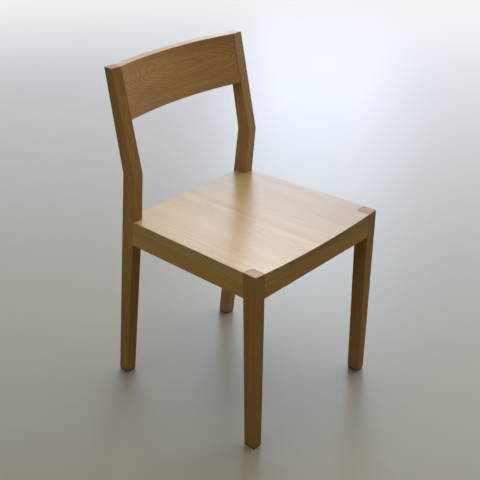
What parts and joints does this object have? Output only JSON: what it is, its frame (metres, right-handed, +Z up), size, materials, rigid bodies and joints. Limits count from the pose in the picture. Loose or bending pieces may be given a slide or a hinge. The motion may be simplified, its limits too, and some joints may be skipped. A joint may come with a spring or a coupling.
{
  "type": "side chair",
  "caption": "Solid oak dining side chair with tapered front legs flush through a scooped seat, cranked rear legs and a wide bent top rail.",
  "frame": {"origin": "on the floor, at the middle of the chair's width and depth", "axes": "+Z up, the front of the chair towards -Y, +X to the right of a person who faces the chair"},
  "size_m": [0.43, 0.4702, 0.794],
  "materials": {
    "oak_frame": "oiled oak, satin",
    "oak_seat": "oiled oak, satin, edge-glued boards",
    "block_wood": "plain hardwood, unfinished",
    "foot_pad": "black hard pad",
    "screw": "zinc plated"
  },
  "bodies": {
    "root": {"front_leg_left": "oak_frame", "front_leg_right": "oak_frame", "rear_leg_left": "oak_frame", "rear_leg_right": "oak_frame", "front_rail": "oak_frame", "rear_rail": "oak_frame", "side_rail_left": "oak_frame", "side_rail_right": "oak_frame", "top_rail": "oak_frame", "seat_board_1": "oak_seat", "seat_board_2": "oak_seat", "seat_board_3": "oak_seat", "seat_board_4": "oak_seat", "corner_block_front_left": "block_wood", "corner_block_front_right": "block_wood", "corner_block_rear_left": "block_wood", "corner_block_rear_right": "block_wood", "block_screws": "screw", "seat_screws": "screw", "foot_pad_front_left": "foot_pad", "foot_pad_front_right": "foot_pad", "foot_pad_rear_left": "foot_pad", "foot_pad_rear_right": "foot_pad"}
  },
  "joints": []
}
